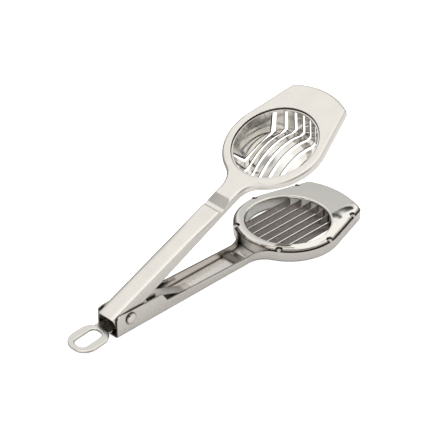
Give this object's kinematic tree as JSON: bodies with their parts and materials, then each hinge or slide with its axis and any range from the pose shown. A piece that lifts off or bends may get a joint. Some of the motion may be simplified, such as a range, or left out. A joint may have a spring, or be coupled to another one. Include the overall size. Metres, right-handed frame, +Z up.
{
  "type": "egg slicer",
  "caption": "Hand-held stainless egg slicer: two hinged handles, a lower head with parallel blades, a slotted press cup above, a leaf spring and a sliding latch loop.",
  "frame": {"origin": "on the base plane the lower arm rests on, straight under the hinge rivet", "axes": "+X from the hinge along the arms to the tip, +Z up, +Y to the left"},
  "size_m": [0.2108, 0.0636, 0.0826],
  "materials": {
    "polished_steel": "bright stainless",
    "blade_steel": "ground stainless",
    "spring_steel": "stainless spring strip"
  },
  "bodies": {
    "lower": {"lower_arm": "polished_steel", "blade_carrier": "polished_steel", "cover_plate": "polished_steel", "blade_1": "blade_steel", "blade_2": "blade_steel", "blade_3": "blade_steel", "blade_4": "blade_steel", "blade_5": "blade_steel", "blade_6": "blade_steel", "blade_7": "blade_steel", "pivot_rivet": "polished_steel", "leaf_spring": "spring_steel"},
    "upper": {"upper_arm": "polished_steel", "press_cup": "polished_steel"},
    "latch": {"latch_loop": "polished_steel"}
  },
  "joints": [
    {"name": "arm_pivot", "type": "hinge", "parent": "lower", "child": "upper", "pos_m": [0, 0, 0.00885], "axis": [0, 1, 0], "range_deg": [0, 22.8], "stiffness_Nm_per_rad": 0.6, "springref_deg": -20.63, "deforming": ["leaf_spring"]},
    {"name": "lock_slide", "type": "slide", "parent": "lower", "child": "latch", "axis": [-1, 0, 0], "range_m": [0, 0.005]}
  ]
}
